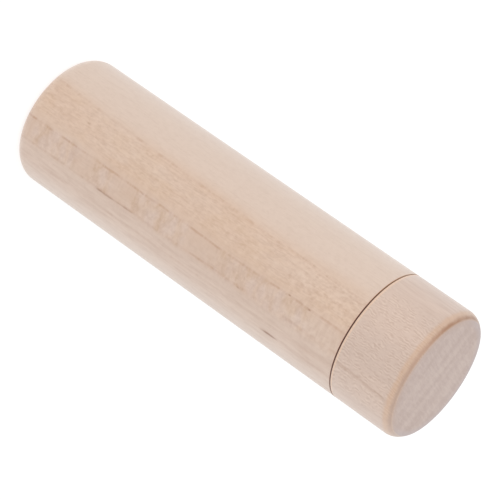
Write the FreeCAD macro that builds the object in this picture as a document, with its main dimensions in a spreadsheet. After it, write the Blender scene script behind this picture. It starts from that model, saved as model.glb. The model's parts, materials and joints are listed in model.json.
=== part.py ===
"""Turned wooden needle case: a long bored body with a spigot, and a short push-on cap.

Units are millimetres. +Z runs along the turning axis from the body's base to the cap.
The origin is the centre of the base face, so the case stands on it.
"""

import FreeCAD, Part
import math
import os

import Sketcher

# Driving dimensions. The sheet holds one row for each: alias, value, what it is.
DIMENSIONS = (
    ("outer_diameter", 23.0, "outside of the body and of the cap"),
    ("shoulder_height", 69.1, "base face to the shoulder that the cap faces"),
    ("base_edge_radius", 2.8, "round of the body's base edge"),
    ("base_face_diameter", 18.5, "flat of the base, inside its round"),
    ("spigot_diameter", 18.4, "spigot that the cap pushes onto"),
    ("spigot_length", 8.2, "shoulder to the spigot's end"),
    ("spigot_lead", 0.6, "lead-in chamfer on the spigot's end"),
    ("bore_diameter", 14.0, "needle bore"),
    ("bore_depth", 68.0, "spigot's end to the foot of the bore's straight wall"),
    ("bore_point_angle", 118.0, "drill point at the bore's foot, degrees"),
    ("bore_mouth_diameter", 15.0, "wide end of the bore's countersunk mouth"),
    ("seam_gap", 0.15, "hairline left between shoulder and cap rim"),
    ("cap_length", 11.85, "cap rim to its end face"),
    ("cap_edge_radius", 2.3, "round of the cap's end edge"),
    ("cap_face_diameter", 21.2, "flat end of the cap, inside its round"),
    ("socket_clearance", 0.05, "radial gap between spigot and socket"),
    ("socket_lead", 0.5, "lead-in chamfer at the socket's mouth"),
    ("edge_break", 0.1, "small round on the two edges that meet at the seam"),
)
SHEET = "Sizes"
TOLERANCE = 1e-4  # used to pick an edge by its radius and height

doc = FreeCAD.newDocument("NeedleCase")


def fill_sheet():
    """Writes every driving dimension to the spreadsheet and gives it its alias."""
    sheet = doc.addObject("Spreadsheet::Sheet", SHEET)
    for row, (alias, value, meaning) in enumerate(DIMENSIONS, start=1):
        sheet.set(f"A{row}", alias)
        sheet.set(f"B{row}", str(value))
        sheet.set(f"C{row}", meaning)
        sheet.setAlias(f"B{row}", alias)
    doc.recompute()
    return sheet


sizes = fill_sheet()


def origin_plane(body, role):
    """The origin plane of this body with the given role, such as XZ_Plane."""
    return next(p for p in body.Origin.OriginFeatures if p.Role == role)


def new_sketch(body, name, role):
    """An empty sketch on one of the body's own origin planes."""
    sketch = body.newObject("Sketcher::SketchObject", name)
    sketch.AttachmentSupport = [(origin_plane(body, role), "")]
    sketch.MapMode = "FlatFace"
    return sketch


def bind(sketch, constraint, name, expression):
    """Adds a dimension to the sketch and ties it to an expression on the sheet."""
    index = sketch.addConstraint(constraint)
    sketch.renameConstraint(index, name)
    sketch.setExpression(f"Constraints.{name}", expression)


def join_ends(sketch, ends):
    """Makes pairs of points meet. Each pair is (geometry, point, geometry, point)."""
    for pair in ends:
        sketch.addConstraint(Sketcher.Constraint("Coincident", *pair))


def align(sketch, kind, geometries):
    """Makes the given lines Horizontal or Vertical."""
    for geometry in geometries:
        sketch.addConstraint(Sketcher.Constraint(kind, geometry))


def line(sketch, start, end):
    """Adds a straight line between two (x, y) points and returns its index."""
    a = FreeCAD.Vector(*start, 0)
    b = FreeCAD.Vector(*end, 0)
    return sketch.addGeometry(Part.LineSegment(a, b), False)


def arc(sketch, centre, radius, first_degrees, last_degrees):
    """Adds a counter-clockwise arc and returns its index."""
    circle = Part.Circle(FreeCAD.Vector(*centre, 0), FreeCAD.Vector(0, 0, 1), radius)
    first = math.radians(first_degrees)
    last = math.radians(last_degrees)
    return sketch.addGeometry(Part.ArcOfCircle(circle, first, last), False)


def revolve(body, sketch, name):
    """Turns a half-section about the body's Z axis."""
    blank = body.newObject("PartDesign::Revolution", name)
    blank.Profile = sketch
    blank.ReferenceAxis = (sketch, ["V_Axis"])
    blank.Angle = 360
    sketch.Visibility = False
    doc.recompute()
    return blank


def circle_edges(feature, radius, height):
    """Names of the feature's full-circle edges of one radius at one height."""
    names = []
    for number, edge in enumerate(feature.Shape.Edges, start=1):
        round_edge = isinstance(edge.Curve, Part.Circle)
        if not round_edge:
            continue
        same_radius = abs(edge.Curve.Radius - radius) < TOLERANCE
        same_height = abs(edge.Curve.Center.z - height) < TOLERANCE
        if same_radius and same_height:
            names.append(f"Edge{number}")
    return names


def dress_edges(body, kind, name, base, edges, size_property, alias):
    """Adds a PartDesign Fillet or Chamfer to named edges of the base feature."""
    if not edges:
        raise RuntimeError(f"{name}: no edge to work on")
    dressed = body.newObject(f"PartDesign::{kind}", name)
    dressed.Base = (base, edges)
    dressed.setExpression(size_property, f"{SHEET}.{alias}")
    doc.recompute()
    if not dressed.Shape.Volume < base.Shape.Volume:
        raise RuntimeError(f"{name} removed nothing")
    return dressed


def require_cut(feature, before):
    """Stops the build if a cutting feature left the volume as it was."""
    if not feature.Shape.Volume < before - 1.0:
        raise RuntimeError(f"{feature.Label} cut nothing")


# ---------------------------------------------------------------- case body

def body_section(body):
    """Half-section of the body: base flat, base round, side, shoulder and spigot."""
    outer = sizes.outer_diameter / 2
    spigot = sizes.spigot_diameter / 2
    base_flat = sizes.base_face_diameter / 2
    edge = sizes.base_edge_radius
    shoulder = sizes.shoulder_height
    lead = sizes.spigot_lead
    top = shoulder + sizes.spigot_length
    sweep = math.degrees(math.acos((base_flat - outer + edge) / edge))
    arc_height = edge * math.sin(math.radians(sweep))

    sketch = new_sketch(body, "BodySection", "XZ_Plane")
    base = line(sketch, (0, 0), (base_flat, 0))
    base_round = arc(sketch, (outer - edge, arc_height), edge, -sweep, 0)
    side = line(sketch, (outer, arc_height), (outer, shoulder))
    ledge = line(sketch, (outer, shoulder), (spigot, shoulder))
    neck = line(sketch, (spigot, shoulder), (spigot, top - lead))
    slope = line(sketch, (spigot, top - lead), (spigot - lead, top))
    end = line(sketch, (spigot - lead, top), (0, top))
    axis = line(sketch, (0, top), (0, 0))

    join_ends(sketch, (
        (base, 1, -1, 1),
        (base, 2, base_round, 1),
        (side, 2, ledge, 1),
        (ledge, 2, neck, 1),
        (neck, 2, slope, 1),
        (slope, 2, end, 1),
        (end, 2, axis, 1),
        (axis, 2, base, 1),
    ))
    sketch.addConstraint(Sketcher.Constraint("Tangent", base_round, 2, side, 1))
    align(sketch, "Horizontal", (base, ledge, end))
    align(sketch, "Vertical", (side, neck, axis))

    constraint = Sketcher.Constraint
    bind(sketch, constraint("Radius", base_round, edge),
         "base_round", f"{SHEET}.base_edge_radius")
    bind(sketch, constraint("DistanceX", base, 1, base, 2, base_flat),
         "base_flat", f"{SHEET}.base_face_diameter / 2")
    bind(sketch, constraint("DistanceX", -1, 1, side, 2, outer),
         "outer_radius", f"{SHEET}.outer_diameter / 2")
    bind(sketch, constraint("DistanceY", -1, 1, side, 2, shoulder),
         "shoulder", f"{SHEET}.shoulder_height")
    bind(sketch, constraint("DistanceX", -1, 1, neck, 2, spigot),
         "spigot_radius", f"{SHEET}.spigot_diameter / 2")
    bind(sketch, constraint("DistanceY", -1, 1, end, 2, top),
         "spigot_end", f"{SHEET}.shoulder_height + {SHEET}.spigot_length")
    bind(sketch, constraint("DistanceX", slope, 2, slope, 1, lead),
         "lead_inset", f"{SHEET}.spigot_lead")
    bind(sketch, constraint("DistanceY", slope, 1, slope, 2, lead),
         "lead_height", f"{SHEET}.spigot_lead")
    return sketch


def bore_needle_space(body, blank):
    """Blind bore down from the spigot's end, with a countersunk mouth."""
    sketch = new_sketch(body, "BoreCentre", "XY_Plane")
    sketch.setExpression(
        "AttachmentOffset.Base.z", f"{SHEET}.shoulder_height + {SHEET}.spigot_length")
    centre = FreeCAD.Vector(0, 0, 0)
    radius = sizes.bore_diameter / 2
    sketch.addGeometry(Part.Circle(centre, FreeCAD.Vector(0, 0, 1), radius), False)
    join_ends(sketch, ((0, 3, -1, 1),))
    bind(sketch, Sketcher.Constraint("Radius", 0, radius),
         "bore_radius", f"{SHEET}.bore_diameter / 2")
    doc.recompute()

    bore = body.newObject("PartDesign::Hole", "NeedleBore")
    bore.Profile = sketch
    doc.recompute()
    bore.DepthType = "Dimension"
    bore.DrillPoint = "Angled"
    bore.DrillForDepth = False
    bore.HoleCutType = "Countersink"
    bore.HoleCutCountersinkAngle = 90
    bore.setExpression("Diameter", f"{SHEET}.bore_diameter")
    bore.setExpression("Depth", f"{SHEET}.bore_depth")
    bore.setExpression("DrillPointAngle", f"{SHEET}.bore_point_angle")
    bore.setExpression("HoleCutDiameter", f"{SHEET}.bore_mouth_diameter")
    sketch.Visibility = False
    doc.recompute()
    require_cut(bore, blank.Shape.Volume)
    return bore


def make_case_body():
    """The long piece: turned outside, bored to hold the needles."""
    body = doc.addObject("PartDesign::Body", "CaseBody")
    body.Label = "case_body"
    blank = revolve(body, body_section(body), "TurnedBody")
    bore = bore_needle_space(body, blank)
    shoulder_edge = circle_edges(bore, sizes.outer_diameter / 2, sizes.shoulder_height)
    dress_edges(body, "Fillet", "ShoulderEdge", bore, shoulder_edge, "Radius", "edge_break")
    body.Placement = FreeCAD.Placement()
    return body


# ---------------------------------------------------------------------- cap

def cap_section(body):
    """Half-section of the cap blank: rim, side, end round and flat end face."""
    outer = sizes.outer_diameter / 2
    face = sizes.cap_face_diameter / 2
    edge = sizes.cap_edge_radius
    length = sizes.cap_length
    sweep = math.degrees(math.acos((face - outer + edge) / edge))
    arc_height = length - edge * math.sin(math.radians(sweep))

    sketch = new_sketch(body, "CapSection", "XZ_Plane")
    rim = line(sketch, (0, 0), (outer, 0))
    side = line(sketch, (outer, 0), (outer, arc_height))
    end_round = arc(sketch, (outer - edge, arc_height), edge, 0, sweep)
    end = line(sketch, (face, length), (0, length))
    axis = line(sketch, (0, length), (0, 0))

    join_ends(sketch, (
        (rim, 1, -1, 1),
        (rim, 2, side, 1),
        (end_round, 2, end, 1),
        (end, 2, axis, 1),
        (axis, 2, rim, 1),
    ))
    sketch.addConstraint(Sketcher.Constraint("Tangent", side, 2, end_round, 1))
    align(sketch, "Horizontal", (rim, end))
    align(sketch, "Vertical", (side, axis))

    constraint = Sketcher.Constraint
    bind(sketch, constraint("DistanceX", rim, 1, rim, 2, outer),
         "outer_radius", f"{SHEET}.outer_diameter / 2")
    bind(sketch, constraint("DistanceY", axis, 2, axis, 1, length),
         "length", f"{SHEET}.cap_length")
    bind(sketch, constraint("Radius", end_round, edge),
         "end_round", f"{SHEET}.cap_edge_radius")
    bind(sketch, constraint("DistanceX", end, 2, end, 1, face),
         "end_flat", f"{SHEET}.cap_face_diameter / 2")
    return sketch


def sink_socket(body, blank):
    """Round socket from the rim, as deep as the spigot less the seam's hairline."""
    radius = sizes.spigot_diameter / 2 + sizes.socket_clearance
    sketch = new_sketch(body, "SocketCircle", "XY_Plane")
    centre = FreeCAD.Vector(0, 0, 0)
    sketch.addGeometry(Part.Circle(centre, FreeCAD.Vector(0, 0, 1), radius), False)
    join_ends(sketch, ((0, 3, -1, 1),))
    bind(sketch, Sketcher.Constraint("Radius", 0, radius),
         "socket_radius", f"{SHEET}.spigot_diameter / 2 + {SHEET}.socket_clearance")

    socket = body.newObject("PartDesign::Pocket", "Socket")
    socket.Profile = sketch
    socket.Type = "Length"
    socket.Reversed = True
    socket.setExpression("Length", f"{SHEET}.spigot_length - {SHEET}.seam_gap")
    sketch.Visibility = False
    doc.recompute()
    require_cut(socket, blank.Shape.Volume)
    return socket


def make_cap():
    """The short piece: a cup that pushes onto the spigot."""
    body = doc.addObject("PartDesign::Body", "Cap")
    body.Label = "cap"
    blank = revolve(body, cap_section(body), "TurnedCap")
    socket = sink_socket(body, blank)
    socket_radius = sizes.spigot_diameter / 2 + sizes.socket_clearance
    mouth = circle_edges(socket, socket_radius, 0)
    eased = dress_edges(body, "Chamfer", "SocketLead", socket, mouth, "Size", "socket_lead")
    rim_edge = circle_edges(eased, sizes.outer_diameter / 2, 0)
    dress_edges(body, "Fillet", "RimEdge", eased, rim_edge, "Radius", "edge_break")
    body.setExpression("Placement.Base.z", f"{SHEET}.shoulder_height + {SHEET}.seam_gap")
    return body


# -------------------------------------------------------------- check, write

def check_document(parts):
    """Stops if an object failed to compute or a sub-part has no valid single solid."""
    for item in doc.Objects:
        if "Invalid" in item.State or "Error" in item.State:
            raise RuntimeError(f"{item.Label} did not compute: {item.State}")
        if item.TypeId == "Sketcher::SketchObject" and not item.FullyConstrained:
            raise RuntimeError(f"{item.Label} is not fully constrained")
    for part in parts:
        shape = part.Shape
        if shape.isNull() or not shape.isValid() or len(shape.Solids) != 1:
            raise RuntimeError(f"{part.Label} has no valid single solid")


def write_parts(parts):
    """Writes each sub-part to its own STEP file, named by its Label."""
    os.makedirs("parts", exist_ok=True)
    for part in parts:
        part.Shape.exportStep(f"parts/{part.Label}.step")
        box = part.Shape.optimalBoundingBox(False, False)
        print(f"{part.Label}: volume {part.Shape.Volume:.1f} mm3, "
              f"z {box.ZMin:.3f} to {box.ZMax:.3f}, width {box.XLength:.3f}")


pieces = [make_case_body(), make_cap()]
doc.recompute()
check_document(pieces)
write_parts(pieces)
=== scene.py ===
"""Looks for the turned needle case: two turned pieces in procedural maple, a floor, lights and a camera.

Lengths named _MM are millimetres; Blender itself works in metres, in the part's own frame:
+Z runs from the base to the cap, and the visible front of the case faces -Y.
"""

import json
import math

import bmesh
import bpy
from mathutils import Matrix, Vector


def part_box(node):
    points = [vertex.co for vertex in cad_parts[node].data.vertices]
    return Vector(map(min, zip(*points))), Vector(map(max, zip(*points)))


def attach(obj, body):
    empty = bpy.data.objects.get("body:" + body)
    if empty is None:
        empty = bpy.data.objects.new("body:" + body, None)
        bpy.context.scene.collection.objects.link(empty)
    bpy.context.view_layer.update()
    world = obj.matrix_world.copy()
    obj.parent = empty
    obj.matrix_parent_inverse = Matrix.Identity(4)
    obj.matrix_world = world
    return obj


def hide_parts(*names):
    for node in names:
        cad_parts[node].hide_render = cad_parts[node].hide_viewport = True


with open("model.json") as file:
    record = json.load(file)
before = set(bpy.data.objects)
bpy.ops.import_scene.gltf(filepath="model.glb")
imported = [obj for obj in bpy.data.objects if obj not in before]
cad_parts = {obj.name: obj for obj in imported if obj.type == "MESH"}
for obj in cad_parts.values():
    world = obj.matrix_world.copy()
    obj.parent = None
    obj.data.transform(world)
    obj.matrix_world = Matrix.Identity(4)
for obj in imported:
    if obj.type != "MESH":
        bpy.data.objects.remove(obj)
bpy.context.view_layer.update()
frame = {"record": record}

MM = 0.001
TINY_MM = 1e-6

# ------------------------------------------------------------------ sizes of the part

_, body_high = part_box("case_body")
cap_low, cap_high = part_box("cap")
mounts = {mount["name"]: mount for mount in frame["record"]["mounts"]}
barrel = mounts["barrel"]

OUTER_R_MM = barrel["dims"]["r_mm"]
BARREL_MIDDLE_MM = barrel["pos_m"][2] / MM
BARREL_HALF_MM = barrel["dims"]["length_mm"] / 2
SIDE_LOW_MM = BARREL_MIDDLE_MM - BARREL_HALF_MM
SIDE_HIGH_MM = BARREL_MIDDLE_MM + BARREL_HALF_MM
SPIGOT_END_MM = body_high.z / MM
CAP_RIM_MM = cap_low.z / MM
CAP_END_MM = cap_high.z / MM

# Sizes that the record doesn't hold, as the CAD part has them.
SEAM_GAP_MM = 0.15
SHOULDER_MM = CAP_RIM_MM - SEAM_GAP_MM
EDGE_BREAK_MM = 0.1
BASE_FLAT_R_MM = 9.25
BASE_ROUND_MM = 2.8
CAP_FLAT_R_MM = 10.6
CAP_ROUND_MM = 2.3
SPIGOT_R_MM = 9.2
SPIGOT_LEAD_MM = 0.6
SOCKET_R_MM = 9.25
SOCKET_LEAD_MM = 0.5
BORE_R_MM = 7.0
BORE_MOUTH_R_MM = 7.5
BORE_FOOT_MM = 9.3
BORE_TIP_MM = 5.094

# ------------------------------------------------------------------ turned meshes

SEGMENTS_AROUND = 288
LONGEST_STEP_MM = 1.6
BASE_ROUND_STEPS = 24
CAP_ROUND_STEPS = 18
EDGE_BREAK_STEPS = 6
SHARP_DEGREES = 28


def straight(start, end):
    """Points from start to end, both included, no further apart than the longest step."""
    run = math.dist(start, end)
    count = max(1, math.ceil(run / LONGEST_STEP_MM))
    points = []
    for i in range(count + 1):
        share = i / count
        points.append((start[0] + (end[0] - start[0]) * share, start[1] + (end[1] - start[1]) * share))
    return points


def straights(*corners):
    """Points along the straight stretches from each corner to the next."""
    points = []
    for start, end in zip(corners, corners[1:]):
        points.extend(straight(start, end))
    return points


def rounded(centre, radius, first, last, steps):
    """Points along an arc of the outline, angles in degrees from the outward direction."""
    points = []
    for i in range(steps + 1):
        angle = math.radians(first + (last - first) * i / steps)
        points.append((centre[0] + radius * math.cos(angle), centre[1] + radius * math.sin(angle)))
    return points


def joined(*stretches):
    """One outline from several stretches, without the points that they share."""
    outline = []
    for stretch in stretches:
        for point in stretch:
            if outline and math.dist(outline[-1], point) < TINY_MM:
                continue
            outline.append(point)
    return outline


def sweep_degrees(flat_radius, round_radius):
    """How far an end round turns before it meets its flat face."""
    return math.degrees(math.acos((flat_radius - OUTER_R_MM + round_radius) / round_radius))


def vertex_ring(mesh, radius, height):
    """One vertex on the axis, or a full circle of them at this radius."""
    if radius < TINY_MM:
        return [mesh.verts.new((0, 0, height * MM))]
    ring = []
    for i in range(SEGMENTS_AROUND):
        angle = math.tau * i / SEGMENTS_AROUND
        x = radius * MM * math.cos(angle)
        y = radius * MM * math.sin(angle)
        ring.append(mesh.verts.new((x, y, height * MM)))
    return ring


def face_band(mesh, lower, upper):
    """The faces between two rings, either of which may be a single vertex on the axis."""
    for i in range(SEGMENTS_AROUND):
        after = (i + 1) % SEGMENTS_AROUND
        if len(lower) == 1:
            mesh.faces.new((lower[0], upper[after], upper[i]))
        elif len(upper) == 1:
            mesh.faces.new((lower[i], lower[after], upper[0]))
        else:
            mesh.faces.new((lower[i], lower[after], upper[after], upper[i]))


def turned(name, outline):
    """A closed solid of revolution. The outline is (radius, height) and starts and ends on the axis."""
    mesh = bmesh.new()
    rings = [vertex_ring(mesh, radius, height) for radius, height in outline]
    for lower, upper in zip(rings, rings[1:]):
        face_band(mesh, lower, upper)
    bmesh.ops.recalc_face_normals(mesh, faces=mesh.faces)
    data = bpy.data.meshes.new(name)
    mesh.to_mesh(data)
    mesh.free()
    data.shade_smooth()
    data.set_sharp_from_angle(angle=math.radians(SHARP_DEGREES))
    piece = bpy.data.objects.new(name, data)
    bpy.context.scene.collection.objects.link(piece)
    return piece


def body_outline():
    """Base, base round, side, shoulder, spigot and the needle bore down to its drill point."""
    sweep = sweep_degrees(BASE_FLAT_R_MM, BASE_ROUND_MM)
    base_centre = (OUTER_R_MM - BASE_ROUND_MM, SIDE_LOW_MM)
    break_centre = (OUTER_R_MM - EDGE_BREAK_MM, SHOULDER_MM - EDGE_BREAK_MM)
    return joined(
        straights((0, 0), (BASE_FLAT_R_MM, 0)),
        rounded(base_centre, BASE_ROUND_MM, -sweep, 0, BASE_ROUND_STEPS),
        straights((OUTER_R_MM, SIDE_LOW_MM), (OUTER_R_MM, break_centre[1])),
        rounded(break_centre, EDGE_BREAK_MM, 0, 90, EDGE_BREAK_STEPS),
        straights(
            (break_centre[0], SHOULDER_MM),
            (SPIGOT_R_MM, SHOULDER_MM),
            (SPIGOT_R_MM, SPIGOT_END_MM - SPIGOT_LEAD_MM),
            (SPIGOT_R_MM - SPIGOT_LEAD_MM, SPIGOT_END_MM),
            (BORE_MOUTH_R_MM, SPIGOT_END_MM),
            (BORE_R_MM, SPIGOT_END_MM - BORE_MOUTH_R_MM + BORE_R_MM),
            (BORE_R_MM, BORE_FOOT_MM),
            (0, BORE_TIP_MM),
        ),
    )


def cap_outline():
    """From the socket's floor out over the rim, up the side and over the end round to the end face."""
    sweep = sweep_degrees(CAP_FLAT_R_MM, CAP_ROUND_MM)
    end_centre = (OUTER_R_MM - CAP_ROUND_MM, SIDE_HIGH_MM)
    break_centre = (OUTER_R_MM - EDGE_BREAK_MM, CAP_RIM_MM + EDGE_BREAK_MM)
    return joined(
        straights(
            (0, SPIGOT_END_MM),
            (SOCKET_R_MM, SPIGOT_END_MM),
            (SOCKET_R_MM, CAP_RIM_MM + SOCKET_LEAD_MM),
            (SOCKET_R_MM + SOCKET_LEAD_MM, CAP_RIM_MM),
            (break_centre[0], CAP_RIM_MM),
        ),
        rounded(break_centre, EDGE_BREAK_MM, -90, 0, EDGE_BREAK_STEPS),
        straights((OUTER_R_MM, break_centre[1]), (OUTER_R_MM, SIDE_HIGH_MM)),
        rounded(end_centre, CAP_ROUND_MM, 0, sweep, CAP_ROUND_STEPS),
        straights((CAP_FLAT_R_MM, CAP_END_MM), (0, CAP_END_MM)),
    )


# ------------------------------------------------------------------ shader building

MIX_SHARE = 0   # sockets of a Mix node that mixes colours
MIX_FIRST = 6
MIX_SECOND = 7
MIX_RESULT = 2


def srgb(red, green, blue):
    """A colour given as 0 to 255 display values, as the linear RGBA that nodes take."""
    linear = []
    for value in (red, green, blue):
        share = value / 255
        linear.append(share / 12.92 if share <= 0.04045 else ((share + 0.055) / 1.055) ** 2.4)
    return (*linear, 1.0)


class Graph:
    """Builds a shader tree. Every argument may be a number, a tuple or another node's output."""

    def __init__(self, tree):
        self.tree = tree

    def node(self, kind, **settings):
        made = self.tree.nodes.new(kind)
        for name, value in settings.items():
            setattr(made, name, value)
        return made

    def feed(self, socket, value):
        """Links another node's output to the socket, or sets the socket's own value."""
        if isinstance(value, bpy.types.NodeSocket):
            self.tree.links.new(value, socket)
        else:
            socket.default_value = value

    def math(self, operation, *values):
        made = self.node("ShaderNodeMath", operation=operation)
        for socket, value in zip(made.inputs, values):
            self.feed(socket, value)
        return made.outputs[0]

    def add(self, a, b):
        return self.math("ADD", a, b)

    def subtract(self, a, b):
        return self.math("SUBTRACT", a, b)

    def times(self, a, b):
        return self.math("MULTIPLY", a, b)

    def divide(self, a, b):
        return self.math("DIVIDE", a, b)

    def absolute(self, value):
        return self.math("ABSOLUTE", value)

    def distance(self, a, b):
        """How far the point (a, b) lies from (0, 0)."""
        return self.math("SQRT", self.add(self.times(a, a), self.times(b, b)))

    def smooth(self, value, low, high, start=0.0, end=1.0):
        """Goes smoothly from start at low to end at high."""
        made = self.node("ShaderNodeMapRange", interpolation_type="SMOOTHSTEP")
        given = {"Value": value, "From Min": low, "From Max": high, "To Min": start, "To Max": end}
        for name, amount in given.items():
            self.feed(made.inputs[name], amount)
        return made.outputs[0]

    def fading(self, value, low, high):
        """1 up to low, 0 from high on, smooth in between."""
        return self.smooth(value, low, high, start=1.0, end=0.0)

    def hill(self, value, rise, top_low, top_high, fall):
        """0 outside, 1 between the two tops, smooth in between."""
        return self.times(self.smooth(value, rise, top_low), self.fading(value, top_high, fall))

    def vector_math(self, operation, a, b):
        made = self.node("ShaderNodeVectorMath", operation=operation)
        self.feed(made.inputs[0], a)
        self.feed(made.inputs[1], b)
        return made.outputs[0]

    def stretched(self, vector, scales):
        return self.vector_math("MULTIPLY", vector, scales)

    def moved(self, vector, offset):
        return self.vector_math("ADD", vector, offset)

    def split(self, vector):
        made = self.node("ShaderNodeSeparateXYZ")
        self.feed(made.inputs[0], vector)
        return made.outputs[0], made.outputs[1], made.outputs[2]

    def point(self, x, y, z):
        made = self.node("ShaderNodeCombineXYZ")
        for socket, value in zip(made.inputs, (x, y, z)):
            self.feed(socket, value)
        return made.outputs[0]

    def noise(self, vector, scales, detail=2.0, roughness=0.5, distortion=0.0):
        """Noise from 0 to 1 about 0.5, with its own cell count per millimetre along X, Y and Z."""
        made = self.node("ShaderNodeTexNoise", noise_dimensions="3D")
        self.feed(made.inputs["Vector"], self.stretched(vector, scales))
        made.inputs["Scale"].default_value = 1.0
        made.inputs["Detail"].default_value = detail
        made.inputs["Roughness"].default_value = roughness
        made.inputs["Distortion"].default_value = distortion
        return made.outputs["Fac"]

    def cells(self, vector, sizes):
        """Distance to the middle of the nearest random cell, 0 to about 1. Cell sizes are in millimetres."""
        made = self.node("ShaderNodeTexVoronoi", voronoi_dimensions="3D", feature="F1")
        scales = tuple(1 / size for size in sizes)
        self.feed(made.inputs["Vector"], self.stretched(vector, scales))
        made.inputs["Scale"].default_value = 1.0
        made.inputs["Randomness"].default_value = 1.0
        return made.outputs["Distance"]

    def mix(self, share, first, second):
        """Colour that goes from first to second as share goes from 0 to 1."""
        made = self.node("ShaderNodeMix", data_type="RGBA")
        self.feed(made.inputs[MIX_SHARE], share)
        self.feed(made.inputs[MIX_FIRST], first)
        self.feed(made.inputs[MIX_SECOND], second)
        return made.outputs[MIX_RESULT]

    def ramp(self, value, stops):
        """A colour ramp with (position, colour) stops."""
        made = self.node("ShaderNodeValToRGB")
        made.color_ramp.interpolation = "EASE"
        elements = made.color_ramp.elements
        while len(elements) < len(stops):
            elements.new(0.5)
        for element, (position, colour) in zip(elements, stops):
            element.position = position
            element.color = colour
        self.feed(made.inputs[0], value)
        return made.outputs["Color"]


# ------------------------------------------------------------------ maple

# Display colours of the bare wood itself, as under plain white light.
PALE = srgb(211, 189, 173)
TAN = srgb(208, 180, 159)
OCHRE = srgb(206, 174, 144)
ROSE = srgb(204, 177, 158)
PINK = srgb(205, 181, 165)
PINK_PALE = srgb(208, 186, 171)
CAP_PINK = srgb(204, 180, 165)
CAP_PINK_SHADE = srgb(199, 176, 162)
LIGHT_GRAIN = srgb(232, 212, 196)
RING_BROWN = srgb(160, 124, 100)
LINE_BROWN = srgb(160, 108, 72)
STREAK_BROWN = srgb(126, 76, 42)
FLAKE_GREY = srgb(207, 186, 177)
FLAKE_TAN = srgb(190, 156, 126)
CAP_END = srgb(193, 168, 157)
CAP_END_WARM = srgb(192, 160, 142)
CAP_END_COOL = srgb(192, 176, 175)
BODY_END = srgb(194, 168, 152)
BURNISHED_DARK = srgb(166, 124, 96)
BURNISHED = srgb(186, 151, 130)
BURNISHED_GLOW = srgb(204, 164, 130)
BURNISHED_GREY = srgb(180, 152, 136)
BORE_TAN = srgb(176, 146, 122)
# Painted shade for the seam's gap (the next two) and a painted highlight for the cap's rim, not colours of
# the wood.
GAP_SHADE_BROWN = srgb(120, 56, 10)
GAP_SHADE_WARM = srgb(170, 116, 62)
ARRIS_HIGHLIGHT = srgb(238, 200, 166)

# Where each pattern reads the noise, so that they don't line up. Rays and ripples also take the next number.
OFFSET_STEP = (17.3, 9.1, 5.7)
WANDER_SLOW = 1
WANDER_QUICK = 2
TONE = 3
FIBRE = 5
RAY = 6
CAP_LINE_WANDER = 7
CAP_LINE_BREAK = 8
MARK = 9
RING_LINE = 10   # and the numbers after it, one for each line
FLAKE_WOBBLE = 30
FLAKE_CELL = 31
BLOTCH = 32
RIPPLE = 33
TAN_STREAK = 34
FLAKE_FINE = 35
CLOUD = 36
SIDE_STREAK = 37
FLAKE_PATCH = 38
END_BAND = 40
END_SPECKLE = 41
EDGE_SLOPE = 42
EDGE_PATCH = 43
DRILL_RING = 50

QUICK_WANDER_SHARE = 0.35      # how far the rings' quick wander goes, as a share of the slow one
RING_LINE_DRIFT = 11.7         # noise offset from one ring line to the next
RING_LINE_CORE = 0.2           # share of a line's half width that is full
RING_LINE_REST = 0.2           # strength left where a line is broken
ZONE_MARGIN_MM = 2             # how far past the case's side the ring colours are laid out
RAY_WAVE_MM = 1.6
RIPPLE_WAVE_MM = 1.2
RIPPLE_SPREAD = 0.4            # how far from 0.5 a ripple is fully dark or light
DRILL_RING_SHARE = 0.45
BORE_TONE_SHARE = 0.45
# Strength of the painted highlight along the cap's rim.
ARRIS_HIGHLIGHT_SHARE = 0.42
OUTSIDE_MM = (0.60, 0.30)      # depth under the side where outside begins to count, and where it fully does
GAP_SHADE_MM = (-0.11, -0.02, 0.02, 0.08)     # painted brown shade rises to full from the shoulder and falls past the rim
ARRIS_HIGHLIGHT_MM = (0.06, 0.14, 0.30, 0.45)        # the painted highlight rises and falls above the cap's rim
IOR = 1.5
SHEEN_WEIGHT = 0.55
SHEEN_ROUGHNESS = 0.5
ROUGHNESS_BETWEEN_FIBRES = 0.66
ROUGHNESS_ON_FIBRES = 0.76
FIBRE_RELIEF_MM = 0.006


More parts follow.
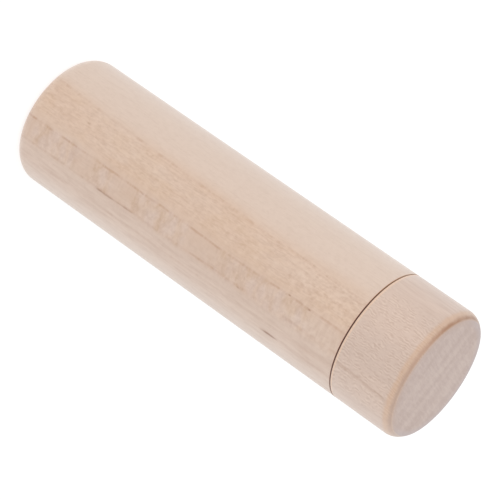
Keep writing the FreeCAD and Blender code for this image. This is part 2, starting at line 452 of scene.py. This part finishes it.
class Wood(Graph):
    """A blank of maple in its own directions: depth runs across the growth rings, away from the pith,
    round runs along the rings, and z runs with the grain. All lengths are millimetres."""

    def __init__(self, tree, ring_degrees, pith_mm, seed, wander_mm):
        super().__init__(tree)
        coordinates = self.node("ShaderNodeTexCoord")
        self.place = self.stretched(coordinates.outputs["Object"], (1 / MM, 1 / MM, 1 / MM))
        self.x, self.y, self.z = self.split(self.place)
        self.radius = self.distance(self.x, self.y)
        self.steep = self.absolute(self.split(coordinates.outputs["Normal"])[2])
        self.seed = seed
        self.pith_mm = pith_mm
        self.ring_angle = math.radians(ring_degrees)
        cos = math.cos(self.ring_angle)
        sin = math.sin(self.ring_angle)
        flat_depth = self.add(self.times(self.x, cos), self.times(self.y, sin))
        self.round = self.subtract(self.times(self.y, cos), self.times(self.x, sin))
        bow = self.times(self.times(self.round, self.round), 0.5 / pith_mm)
        self.depth = self.add(self.add(flat_depth, bow), self.wander(wander_mm))

    def wander(self, reach_mm):
        """How far the rings stray from true arcs."""
        slow = self.noise(self.seeded(self.place, WANDER_SLOW), (0.10, 0.10, 0.028), detail=2.0)
        quick = self.noise(self.seeded(self.place, WANDER_QUICK), (0.45, 0.45, 0.30), detail=3.0)
        slow = self.times(self.subtract(slow, 0.5), reach_mm)
        quick = self.times(self.subtract(quick, 0.5), reach_mm * QUICK_WANDER_SHARE)
        return self.add(slow, quick)

    def seeded(self, vector, number):
        """The same directions, read from another part of the tree."""
        step_x, step_y, step_z = OFFSET_STEP
        return self.moved(vector, (self.seed + step_x * number, step_y * number, step_z * number))

    def grain(self, scales, number, **settings):
        """Noise with cell counts per millimetre across the rings, along them and with the grain."""
        place = self.seeded(self.point(self.depth, self.round, self.z), number)
        return self.noise(place, scales, **settings)

    def front_depth(self, degrees):
        """Depth of the ring that comes out at this angle round the front, from -Y towards +X."""
        angle = math.radians(degrees) - self.ring_angle
        flat = OUTER_R_MM * math.sin(angle)
        return flat + (OUTER_R_MM * math.cos(angle)) ** 2 / (2 * self.pith_mm)

    def zones(self, stops):
        """Colour by ring. stops are (angle round the front, colour)."""
        reach = OUTER_R_MM + ZONE_MARGIN_MM
        placed = []
        for degrees, colour in stops:
            placed.append(((self.front_depth(degrees) + reach) / (2 * reach), colour))
        share = self.divide(self.add(self.depth, reach), 2 * reach)
        return self.ramp(share, placed)

    def between(self, degrees, soft_mm):
        """1 in the rings between a pair of angles round the front, 0 outside them."""
        first = self.front_depth(degrees[0])
        last = self.front_depth(degrees[1])
        return self.hill(self.depth, first, first + soft_mm, last - soft_mm, last)

    def from_base_to_seam(self, at_base, at_seam):
        """A value that changes evenly up the case."""
        return self.add(at_base, self.times(self.z, (at_seam - at_base) / SHOULDER_MM))

    def ring_line(self, degrees, half_mm, number, limits, streak_mm):
        """Thin latewood line between its angles at the base and at the seam, broken along the grain."""
        depth = self.from_base_to_seam(self.front_depth(degrees[0]), self.front_depth(degrees[1]))
        away = self.absolute(self.subtract(self.depth, depth))
        line = self.fading(away, half_mm * RING_LINE_CORE, half_mm)
        place = self.point(
            self.times(self.round, 0.10),
            RING_LINE_DRIFT * number,
            self.times(self.z, 1 / streak_mm),
        )
        broken = self.noise(self.seeded(place, number), (1, 1, 1), detail=4.0, roughness=0.72)
        return self.times(line, self.smooth(broken, *limits, start=RING_LINE_REST))

    def mark(self, degrees, height, half_length, half_width):
        """A dark streak along the grain, thinner towards both ends."""
        angle = math.radians(degrees)
        across_x = self.subtract(self.x, OUTER_R_MM * math.sin(angle))
        across_y = self.add(self.y, OUTER_R_MM * math.cos(angle))
        along = self.divide(self.subtract(self.z, height), half_length)
        across = self.divide(self.distance(across_x, across_y), half_width)
        ragged = self.noise(self.seeded(self.place, MARK), (2.2, 2.2, 0.8), detail=2.0)
        far = self.add(self.distance(along, across), self.times(self.subtract(ragged, 0.5), 0.7))
        return self.fading(far, 0.15, 1.0)

    def rays(self, sizes, low, high):
        """Ray cells, thin ribbons across the rings: dashes with pale halos where a cut meets their ends."""
        sway = self.grain((0.15, 0.5, 0.5), RAY, detail=1.0)
        swayed = self.add(self.round, self.times(self.subtract(sway, 0.5), RAY_WAVE_MM))
        distance = self.cells(self.seeded(self.point(self.depth, swayed, self.z), RAY + 1), sizes)
        dashes = self.fading(distance, low, high)
        halos = self.hill(distance, high, high + 0.12, high + 0.22, high + 0.45)
        return dashes, halos

    def ripple(self, pitch_mm, length_mm):
        """Packed wavy dashes along the grain. 0 is darkest, 1 lightest and 0.5 plain."""
        drift = self.grain((0.4, 0.8, 0.6), RIPPLE, detail=2.0, roughness=0.6)
        swayed = self.add(self.round, self.times(self.subtract(drift, 0.5), RIPPLE_WAVE_MM))
        wave = self.math("SINE", self.times(swayed, 2 * math.pi / pitch_mm))
        broken = self.grain((0.6, 0.5 / pitch_mm, 1 / length_mm), RIPPLE + 1, detail=1.0)
        wave = self.times(wave, self.smooth(broken, 0.36, 0.62))
        return self.add(0.5, self.times(wave, 0.5))

    def shaded(self, colour, signal, shares, where=None, spread=0.12):
        """Darkens where signal is under 0.5 and lightens where it is over, by up to the two shares given,
        and only as far as where says, if it is given."""
        dark, light = shares
        if where is not None:
            dark = self.times(where, dark)
            light = self.times(where, light)
        below = self.fading(signal, 0.5 - spread, 0.5)
        above = self.smooth(signal, 0.5, 0.5 + spread)
        colour = self.mix(self.times(below, dark), colour, RING_BROWN)
        return self.mix(self.times(above, light), colour, LIGHT_GRAIN)

    def fibres(self):
        """Pattern of the single fibres, fine across the grain and long with it."""
        return self.grain((3.0, 3.0, 0.22), FIBRE, detail=3.0, roughness=0.65)

    def with_fibres(self, colour, fibre, share):
        """Darkens the densest fibres by up to share."""
        return self.mix(self.smooth(fibre, 0.45, 0.80, end=share), colour, RING_BROWN)

    def bored_walls(self, colour, bore_mm):
        """Walls of the drilled hole: a little darker, with faint rings left by the drill."""
        inside = self.fading(self.radius, bore_mm + 0.3, bore_mm + 0.9)
        wall = self.times(inside, self.fading(self.steep, 0.3, 0.7))
        rings = self.noise(self.seeded(self.point(0.0, 0.0, self.z), DRILL_RING), (1, 1, 3.5), detail=2.0)
        tone = self.mix(self.smooth(rings, 0.35, 0.65, end=DRILL_RING_SHARE), BORE_TAN, RING_BROWN)
        return self.mix(self.times(wall, BORE_TONE_SHARE), colour, tone)

    def joint_highlight_and_shade(self, colour):
        """The joint's outer edge: a painted highlight on the cap's rim, and painted brown shade in the gap.
        """
        outer = self.smooth(self.radius, *[OUTER_R_MM - under for under in OUTSIDE_MM])
        # Painted highlight: a light warm line along the cap's rim, just above the seam.
        arris_highlight = self.hill(self.z, *[CAP_RIM_MM + above for above in ARRIS_HIGHLIGHT_MM])
        colour = self.mix(self.times(self.times(arris_highlight, outer), ARRIS_HIGHLIGHT_SHARE), colour, ARRIS_HIGHLIGHT)
        # Painted shade in the seam's gap and on the edge breaks beside it.
        shoulder_rise, shoulder_top, rim_top, rim_fall = GAP_SHADE_MM
        gap_shade = self.hill(
            self.z,
            SHOULDER_MM + shoulder_rise,
            SHOULDER_MM + shoulder_top,
            CAP_RIM_MM + rim_top,
            CAP_RIM_MM + rim_fall,
        )
        # The painted shade is strongest at the front and back and weaker at the sides.
        gap_shade_by_side = self.smooth(self.absolute(self.x), 6, 11, start=0.96, end=0.66)
        # The painted shade is warmer towards -X and browner elsewhere.
        gap_shade_colour = self.mix(self.smooth(self.x, -9, -1), GAP_SHADE_WARM, GAP_SHADE_BROWN)
        return self.mix(self.times(gap_shade, self.times(outer, gap_shade_by_side)), colour, gap_shade_colour)

    def finish_surface(self, colour, fibre, relief_mm):
        """Sanded and lightly waxed: soft highlight, a little fuzz, and the relief of fibres and rays."""
        bump = self.node("ShaderNodeBump")
        bump.inputs["Strength"].default_value = 1.0
        bump.inputs["Distance"].default_value = MM
        self.feed(bump.inputs["Height"], self.add(self.times(fibre, FIBRE_RELIEF_MM), relief_mm))
        roughness = self.smooth(fibre, 0.3, 0.8, start=ROUGHNESS_BETWEEN_FIBRES, end=ROUGHNESS_ON_FIBRES)
        surface = self.node("ShaderNodeBsdfPrincipled")
        self.feed(surface.inputs["Base Color"], colour)
        self.feed(surface.inputs["Roughness"], roughness)
        surface.inputs["IOR"].default_value = IOR
        surface.inputs["Sheen Weight"].default_value = SHEEN_WEIGHT
        surface.inputs["Sheen Roughness"].default_value = SHEEN_ROUGHNESS
        self.feed(surface.inputs["Normal"], bump.outputs[0])
        output = self.node("ShaderNodeOutputMaterial")
        self.feed(output.inputs["Surface"], surface.outputs[0])


def empty_material(name):
    material = bpy.data.materials.new(name)
    material.use_nodes = True
    material.node_tree.nodes.clear()
    return material


# ------------------------------------------------------------------ the body's maple

# Bands of rings on the body, as angles round the front.
TAN_BAND = (-24, 13)
FLAKE_BAND = (10, 37)
SEAM_BAND = (-20, 42)
SIDE_BAND = (34, 76)
BODY_ZONES = (
    (-68, PALE),
    (-32, PALE),
    (-15, TAN),
    (7, TAN),
    (19, ROSE),
    (31, ROSE),
    (37, PINK),
    (52, PINK),
    (66, PINK_PALE),
)
# Ring lines of the body: angles round the front at the base and at the seam, half width in mm,
# noise where the line starts and is full, length of its streaks in mm, strength at the base and at the seam.
BODY_LINES = (
    ((-21.4, -15.4), 0.30, (0.45, 0.61), 2.4, (0.25, 0.22)),
    ((-14.5, -12.5), 0.22, (0.50, 0.64), 1.6, (0.16, 0.16)),
    ((-1.4, 0.6), 0.40, (0.42, 0.64), 3.0, (0.09, 0.09)),
    ((14.6, 13.0), 0.28, (0.40, 0.60), 2.6, (0.46, 0.26)),
    ((34.3, 29.8), 0.32, (0.44, 0.64), 3.5, (0.30, 0.30)),
    ((49.6, 44.8), 0.34, (0.44, 0.68), 6.0, (0.14, 0.26)),
    ((55.6, 55.0), 0.30, (0.44, 0.68), 6.0, (0.06, 0.22)),
    ((74.5, 76.0), 0.30, (0.46, 0.70), 6.0, (0.18, 0.18)),
)
# Stretches along the grain where the ray flakes show fully, start and end in mm. Elsewhere they are faint.
FLAKE_STRETCHES = ((4, 12), (17, 20), (26, 36), (44, 62))
FLAKE_FAINT = 0.25
FLAKE_FADE_MM = 1.5
FLAKE_CELL_MM = (3.4, 7.0, 1.7)
# Short dark streaks: angle round the front, height, half length and half width in mm, strength.
BODY_MARKS = (
    (34.0, 18.9, 0.9, 0.28, 0.42),
    (34.0, 21.0, 3.0, 0.27, 0.40),
    (33.6, 24.8, 2.6, 0.22, 0.28),
    (55.4, 56.5, 2.3, 0.34, 0.72),
    (13.0, 57.7, 0.4, 0.22, 0.45),
    (13.5, 61.8, 0.4, 0.22, 0.45),
    (-7.0, 11.5, 0.5, 0.25, 0.25),
    (33.0, 49.0, 0.5, 0.25, 0.30),
)
BODY_RAY_MM = (2.5, 0.40, 0.9)
BODY_RAY_RELIEF_MM = -0.008
# How strongly each pattern shows on the body, dark and light where it has both.
TONE_SHARE = 0.45
FLAKE_INSIDE_SHARE = 0.26
FLAKE_OUTLINE_SHARE = 0.34
FLAKE_FINE_SHARES = (0.10, 0.10)
CLOUD_SHARE = 0.24
BLOTCH_SHARES = (0.075, 0.07)
TAN_STREAK_SHARES = (0.12, 0.10)
BODY_DASH_SHARE = 0.05
SEAM_DASH_SHARE = 0.05
SEAM_HALO_SHARE = 0.08
SEAM_RIPPLE_SHARES = (0.08, 0.08)
SIDE_STREAK_SHARES = (0.12, 0.12)
BODY_FIBRE_SHARE = 0.12
BODY_END_BAND_SHARES = (0.18, 0.18)
BODY_END_SPECKLE_SHARES = (0.12, 0.10)


def body_rings(w):
    """Zones of ring colour, slowly varied, with the thin ring lines drawn over them."""
    colour = w.zones(BODY_ZONES)
    tone = w.grain((0.25, 0.12, 0.045), TONE, detail=2.0)
    colour = w.mix(w.smooth(tone, 0.40, 0.75, end=TONE_SHARE), colour, PALE)
    for number, (degrees, half_mm, limits, streak_mm, strengths) in enumerate(BODY_LINES):
        line = w.ring_line(degrees, half_mm, RING_LINE + number, limits, streak_mm)
        colour = w.mix(w.times(line, w.from_base_to_seam(*strengths)), colour, LINE_BROWN)
    return colour


def ray_flakes(w, colour):
    """Pale pillows with darker outlines, from one ring line to the next."""
    stretches = FLAKE_FAINT
    for start, end in FLAKE_STRETCHES:
        stretch = w.hill(w.z, start - FLAKE_FADE_MM, start, end, end + FLAKE_FADE_MM)
        stretches = w.add(stretches, stretch)
    band = w.times(w.between(FLAKE_BAND, 1.1), stretches)
    wobble = w.grain((0.45, 0.3, 0.50), FLAKE_WOBBLE, detail=1.5, roughness=0.5)
    place = w.point(w.add(w.depth, w.times(wobble, 1.6)), w.round, w.add(w.z, w.times(wobble, 1.8)))
    reach = w.cells(w.seeded(place, FLAKE_CELL), FLAKE_CELL_MM)
    inside = w.fading(reach, 0.22, 0.60)
    outline = w.smooth(reach, 0.44, 0.80)
    patchy = w.smooth(w.grain((0.6, 0.3, 0.7), FLAKE_PATCH, detail=2.0), 0.40, 0.60, start=0.30)
    colour = w.mix(w.times(w.times(inside, band), FLAKE_INSIDE_SHARE), colour, FLAKE_GREY)
    outlined = w.times(w.times(outline, band), w.times(patchy, FLAKE_OUTLINE_SHARE))
    colour = w.mix(outlined, colour, FLAKE_TAN)
    fine = w.grain((0.8, 0.5, 1.3), FLAKE_FINE, detail=2.0, roughness=0.6, distortion=0.6)
    return w.shaded(colour, fine, FLAKE_FINE_SHARES, band)


def tan_mottle(w, colour):
    """Ochre clouds and fine streaks in the tan rings, and blotches that are fainter elsewhere."""
    tan_band = w.between(TAN_BAND, 1.6)
    cloud = w.grain((0.35, 0.2, 0.16), CLOUD, detail=2.0)
    clouded = w.smooth(cloud, 0.45, 0.62, end=CLOUD_SHARE)
    colour = w.mix(w.times(tan_band, clouded), colour, OCHRE)
    blotch = w.grain((1.4, 1.0, 0.85), BLOTCH, detail=2.0, roughness=0.65, distortion=0.3)
    colour = w.shaded(colour, blotch, BLOTCH_SHARES, w.smooth(tan_band, 0.0, 1.0, start=0.50))
    streak = w.grain((3.6, 1.8, 0.75), TAN_STREAK, detail=2.0, roughness=0.6, distortion=0.3)
    return w.shaded(colour, streak, TAN_STREAK_SHARES, tan_band)


def seam_ripple(w, colour, near_seam, dashes, halos):
    """Ray dashes, and the wavy dashes packed between them towards the seam."""
    dash_share = w.add(BODY_DASH_SHARE, w.times(near_seam, SEAM_DASH_SHARE))
    colour = w.mix(w.times(dashes, dash_share), colour, RING_BROWN)
    colour = w.mix(w.times(halos, w.times(near_seam, SEAM_HALO_SHARE)), colour, LIGHT_GRAIN)
    ripple = w.ripple(pitch_mm=0.5, length_mm=1.4)
    return w.shaded(colour, ripple, SEAM_RIPPLE_SHARES, near_seam, RIPPLE_SPREAD)


def side_streaks(w, colour):
    """Soft streaks along the pinker rings at the side."""
    streak = w.grain((1.6, 1.2, 0.22), SIDE_STREAK, detail=3.0, roughness=0.6)
    return w.shaded(colour, streak, SIDE_STREAK_SHARES, w.between(SIDE_BAND, 1.5))


def dark_marks(w, colour):
    """The few short streaks that are darker than any ring line."""
    for degrees, height, half_length, half_width, strength in BODY_MARKS:
        spot = w.mark(degrees, height, half_length, half_width)
        colour = w.mix(w.times(spot, strength), colour, STREAK_BROWN)
    return colour


def body_end_grain(w, colour):
    """End grain on the base, the spigot's end and the drill point."""
    bands = w.grain((0.9, 0.06, 0.02), END_BAND, detail=3.0)
    end_colour = w.shaded(BODY_END, bands, BODY_END_BAND_SHARES)
    speckle = w.grain((2.2, 5.0, 0.3), END_SPECKLE, detail=2.0, roughness=0.7)
    end_colour = w.shaded(end_colour, speckle, BODY_END_SPECKLE_SHARES)
    return w.mix(w.smooth(w.steep, 0.80, 0.97), colour, end_colour)


def body_maple():
    """Quarter-sawn on its front: ring lines along the case, and ray flakes between two of them."""
    material = empty_material("body_maple")
    w = Wood(material.node_tree, ring_degrees=20, pith_mm=90, seed=3.0, wander_mm=0.9)
    fibre = w.fibres()
    near_seam = w.times(w.between(SEAM_BAND, 1.5), w.smooth(w.z, 54, 60, start=0.25))
    dashes, halos = w.rays(BODY_RAY_MM, low=0.10, high=0.45)
    colour = body_rings(w)
    colour = ray_flakes(w, colour)
    colour = tan_mottle(w, colour)
    colour = seam_ripple(w, colour, near_seam, dashes, halos)
    colour = side_streaks(w, colour)
    colour = dark_marks(w, colour)
    colour = w.with_fibres(colour, fibre, BODY_FIBRE_SHARE)
    colour = body_end_grain(w, colour)
    colour = w.bored_walls(colour, BORE_R_MM)
    # Painted shade in the seam's gap.
    colour = w.joint_highlight_and_shade(colour)
    w.finish_surface(colour, fibre, w.times(dashes, w.times(near_seam, BODY_RAY_RELIEF_MM)))
    return material


# ------------------------------------------------------------------ the cap's maple

# The cap's wavy ray ends, as angles round the front where they rise, are full and fall.
FLAT_CUT_DEGREES = (-50, -30, 48, 72)
CAP_RAY_MM = (2.2, 0.34, 0.95)
CAP_HALO_RELIEF_MM = 0.006
CAP_DASH_RELIEF_MM = 0.010
# The one ring line on the cap: angles across it at the rim, and degrees that it leans for each mm above it.
CAP_LINE_DEGREES = (33.7, 35.0, 35.7, 38.0)
CAP_LINE_LEAN = 0.36
# How strongly each pattern shows on the cap, dark and light where it has both.
CAP_DASH_SHARE = 0.12
CAP_HALO_SHARE = 0.08
CAP_RIPPLE_SHARES = (0.20, 0.19)
CAP_STREAK_SHARES = (0.13, 0.10)
CAP_LINE_SHARE = 0.36
CAP_FIBRE_SHARE = 0.10
CAP_END_BAND_SHARES = (0.13, 0.12)
CAP_END_SPECKLE_SHARES = (0.12, 0.12)
CAP_END_RIM_SHARE = 0.7
EDGE_GLOW_SHARE = 0.46
EDGE_RAGGED = 0.30


def degrees_round(w):
    """Angle round the front, from -Y towards +X."""
    return w.math("DEGREES", w.math("ARCTAN2", w.x, w.times(w.y, -1.0)))


def cap_rays(w, colour, flat_cut, dashes, halos):
    """Ray ends, packed and wavy, where the cut is flat."""
    colour = w.mix(w.times(dashes, w.times(flat_cut, CAP_DASH_SHARE)), colour, RING_BROWN)
    colour = w.mix(w.times(halos, w.times(flat_cut, CAP_HALO_SHARE)), colour, LIGHT_GRAIN)
    ripple = w.ripple(pitch_mm=0.42, length_mm=0.9)
    return w.shaded(colour, ripple, CAP_RIPPLE_SHARES, flat_cut, RIPPLE_SPREAD)


def cap_streaks(w, colour, flat_cut):
    """Soft streaks along the grain where the cut is quartered."""
    streak = w.grain((1.4, 1.6, 0.20), SIDE_STREAK, detail=3.0, roughness=0.6)
    return w.shaded(colour, streak, CAP_STREAK_SHARES, w.subtract(1.0, flat_cut))


def cap_ring_line(w, colour, around):
    """One ring comes out along the front, leaning a little and broken along its length."""
    lean = w.times(w.subtract(w.z, CAP_RIM_MM), CAP_LINE_LEAN)
    wander = w.noise(w.seeded(w.place, CAP_LINE_WANDER), (0.25, 0.25, 0.55), detail=2.0)
    wander = w.times(w.subtract(wander, 0.5), 2.0)
    line = w.hill(w.add(w.subtract(around, lean), wander), *CAP_LINE_DEGREES)
    broken = w.noise(w.seeded(w.place, CAP_LINE_BREAK), (0.2, 0.2, 0.35), detail=3.0, roughness=0.6)
    line = w.times(line, w.smooth(broken, 0.38, 0.60, start=0.30))
    return w.mix(w.times(line, CAP_LINE_SHARE), colour, RING_BROWN)


def cap_end_grain(w, colour):
    """Soft ring bands crossed by fine rays, warmer towards the rim at the front and cooler behind."""
    bands = w.grain((0.42, 0.05, 0.02), END_BAND, detail=3.0, roughness=0.55, distortion=0.2)
    end_colour = w.shaded(CAP_END, bands, CAP_END_BAND_SHARES)
    speckle = w.grain((0.5, 2.4, 0.3), END_SPECKLE, detail=2.0, roughness=0.6)
    end_colour = w.shaded(end_colour, speckle, CAP_END_SPECKLE_SHARES)
    rim_colour = w.mix(w.smooth(w.y, -6.0, 2.0), CAP_END_WARM, CAP_END_COOL)
    near_rim = w.smooth(w.radius, 9.2, CAP_FLAT_R_MM, end=CAP_END_RIM_SHARE)
    end_colour = w.mix(near_rim, end_colour, rim_colour)
    return w.mix(w.smooth(w.steep, 0.86, 0.97), colour, end_colour)


def burnished_edge(w, colour):
    """The rounded edge is cut across the fibres and burnished by turning, with a warm glow below it."""
    uneven = w.noise(w.seeded(w.place, EDGE_SLOPE), (0.8, 0.8, 0.8), detail=3.0, roughness=0.65)
    slope = w.add(w.steep, w.times(w.subtract(uneven, 0.5), EDGE_RAGGED))
    to_face = w.fading(w.steep, 0.70, 0.81)
    glow = w.times(w.smooth(slope, 0.08, 0.36), to_face)
    colour = w.mix(w.times(glow, EDGE_GLOW_SHARE), colour, BURNISHED_GLOW)
    stops = ((0.0, BURNISHED_DARK), (0.34, BURNISHED), (0.9, BURNISHED_GREY))
    burnished = w.ramp(w.smooth(w.x, -11, 11), stops)
    patches = w.noise(w.seeded(w.place, EDGE_PATCH), (0.55, 0.55, 0.55), detail=2.0)
    edge = w.times(w.smooth(slope, 0.44, 0.69), to_face)
    edge = w.times(edge, w.smooth(patches, 0.36, 0.56, start=0.72))
    return w.mix(w.times(edge, w.smooth(w.x, -4, 11, start=1.0, end=0.82)), colour, burnished)


def cap_maple():
    """Flat-sawn on its front: fine ray dashes there, soft streaks at its sides, ring bands on its end."""
    material = empty_material("cap_maple")
    w = Wood(material.node_tree, ring_degrees=83, pith_mm=120, seed=41.0, wander_mm=0.8)
    fibre = w.fibres()
    around = degrees_round(w)
    flat_cut = w.hill(around, *FLAT_CUT_DEGREES)
    dashes, halos = w.rays(CAP_RAY_MM, low=0.10, high=0.42)
    tone = w.grain((0.2, 0.12, 0.05), TONE, detail=2.0)
    colour = w.mix(w.smooth(tone, 0.40, 0.65), CAP_PINK, CAP_PINK_SHADE)
    colour = cap_rays(w, colour, flat_cut, dashes, halos)
    colour = cap_streaks(w, colour, flat_cut)
    colour = cap_ring_line(w, colour, around)
    colour = w.with_fibres(colour, fibre, CAP_FIBRE_SHARE)
    colour = cap_end_grain(w, colour)
    colour = burnished_edge(w, colour)
    colour = w.bored_walls(colour, SOCKET_R_MM)
    # Painted highlight on the cap's rim and painted shade in the seam's gap.
    colour = w.joint_highlight_and_shade(colour)
    relief = w.subtract(w.times(halos, CAP_HALO_RELIEF_MM), w.times(dashes, CAP_DASH_RELIEF_MM))
    w.finish_surface(colour, fibre, w.times(relief, flat_cut))
    return material


# ------------------------------------------------------------------ the two pieces


def place_piece(name, outline, body, node, material):
    """Builds one turned piece in place of its CAD node and gives it its wood."""
    piece = turned(name, outline)
    piece.data.materials.append(material)
    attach(piece, body)
    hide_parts(node)


place_piece("turned_body", body_outline(), "case", "case_body", body_maple())
place_piece("turned_cap", cap_outline(), "cap", "cap", cap_maple())

# ------------------------------------------------------------------ floor, light, camera

FLOOR_GLOW = 0.75
FLOOR_GREY = 0.35
FLOOR_ROUGHNESS = 0.9
FLOOR_FLAT_RADIUS = 1.4
FLOOR_EDGE_RADIUS = 3.0
FLOOR_EDGE_RISE = 0.38
FLOOR_RINGS = 24
FLOOR_SEGMENTS = 96
WHITE = (1, 1, 1, 1)


def floor_points():
    """The middle of the floor and then its rings of points, from the innermost out."""
    points = [(0, 0, 0)]
    for ring in range(1, FLOOR_RINGS + 1):
        radius = FLOOR_EDGE_RADIUS * ring / FLOOR_RINGS
        past_flat = max(0.0, (radius - FLOOR_FLAT_RADIUS) / (FLOOR_EDGE_RADIUS - FLOOR_FLAT_RADIUS))
        height = FLOOR_EDGE_RISE * past_flat ** 2
        for segment in range(FLOOR_SEGMENTS):
            angle = 2 * math.pi * segment / FLOOR_SEGMENTS
            points.append((radius * math.cos(angle), radius * math.sin(angle), height))
    return points


def floor_mesh():
    """A disc, flat in the middle, that sweeps up gently towards its edge like a studio cove."""
    faces = []
    for segment in range(FLOOR_SEGMENTS):
        after = (segment + 1) % FLOOR_SEGMENTS
        faces.append((0, 1 + segment, 1 + after))
        for ring in range(FLOOR_RINGS - 1):
            inner = 1 + ring * FLOOR_SEGMENTS
            outer = inner + FLOOR_SEGMENTS
            faces.append((inner + segment, outer + segment, outer + after, inner + after))
    data = bpy.data.meshes.new("floor")
    data.from_pydata(floor_points(), [], faces)
    data.shade_smooth()
    return data


def floor_material():
    """Near-white, lit a little from within like a light table."""
    material = bpy.data.materials.new("pale_floor")
    material.use_nodes = True
    surface = material.node_tree.nodes["Principled BSDF"]
    surface.inputs["Base Color"].default_value = (FLOOR_GREY, FLOOR_GREY, FLOOR_GREY, 1)
    surface.inputs["Roughness"].default_value = FLOOR_ROUGHNESS
    surface.inputs["Emission Color"].default_value = WHITE
    surface.inputs["Emission Strength"].default_value = FLOOR_GLOW
    return material


def pale_floor():
    """The wide floor that the case stands on."""
    data = floor_mesh()
    data.materials.append(floor_material())
    floor = bpy.data.objects.new("floor", data)
    bpy.context.scene.collection.objects.link(floor)


WORLD_STRENGTH = 0.655
LIGHT_DISTANCE = 1.2
LIGHT_SIDE = 0.9
case_middle = Vector((0, 0, CAP_END_MM / 2 * MM))


def studio_world():
    """Even white light from all round."""
    world = bpy.data.worlds.new("studio")
    world.use_nodes = True
    backdrop = world.node_tree.nodes["Background"]
    backdrop.inputs["Color"].default_value = WHITE
    backdrop.inputs["Strength"].default_value = WORLD_STRENGTH
    bpy.context.scene.world = world


def softbox(name, azimuth, elevation, watts):
    """Square area light aimed at the middle of the case. Azimuth 0 is the camera's side, -Y."""
    around = math.radians(azimuth)
    up = math.radians(elevation)
    towards = Vector((math.sin(around) * math.cos(up), -math.cos(around) * math.cos(up), math.sin(up)))
    light = bpy.data.lights.new(name, "AREA")
    light.shape = "SQUARE"
    light.size = LIGHT_SIDE
    light.energy = watts
    lamp = bpy.data.objects.new(name, light)
    lamp.location = case_middle + towards * LIGHT_DISTANCE
    lamp.rotation_mode = "QUATERNION"
    lamp.rotation_quaternion = towards.to_track_quat("Z", "Y")
    bpy.context.scene.collection.objects.link(lamp)


# The camera looks down at the front, rolled so that the case runs from upper left to lower right.
CAMERA_ELEVATION = 25.03
CAMERA_ROLL = 125.095
CAMERA_LENS_MM = 205.1
CAMERA_SENSOR_MM = 36.0
CAMERA_DISTANCE = 0.4564
CAMERA_CLIP_START = 0.01
AIM_RIGHT_MM = 1.222   # the middle of the case lies this far left of the view's centre
AIM_DOWN_MM = 1.320    # and this far above it


def aim_camera():
    """Makes the scene's camera."""
    up_angle = math.radians(CAMERA_ELEVATION)
    roll = math.radians(CAMERA_ROLL)
    back = Vector((0, -math.cos(up_angle), math.sin(up_angle)))
    level = Vector((1, 0, 0))
    rise = Vector((0, math.sin(up_angle), math.cos(up_angle)))
    right = level * math.cos(roll) + rise * math.sin(roll)
    up = rise * math.cos(roll) - level * math.sin(roll)
    data = bpy.data.cameras.new("camera")
    data.lens = CAMERA_LENS_MM
    data.sensor_width = CAMERA_SENSOR_MM
    data.clip_start = CAMERA_CLIP_START
    camera = bpy.data.objects.new("camera", data)
    spot = case_middle + back * CAMERA_DISTANCE + right * (AIM_RIGHT_MM * MM) - up * (AIM_DOWN_MM * MM)
    turn = Matrix((right, up, back)).transposed()
    camera.matrix_world = Matrix.Translation(spot) @ turn.to_4x4()
    bpy.context.scene.collection.objects.link(camera)
    bpy.context.scene.camera = camera


pale_floor()
studio_world()
softbox("key", azimuth=-30, elevation=40, watts=4.4)
softbox("rim", azimuth=110, elevation=25, watts=2.8)
aim_camera()
bpy.context.scene.view_settings.view_transform = "Standard"
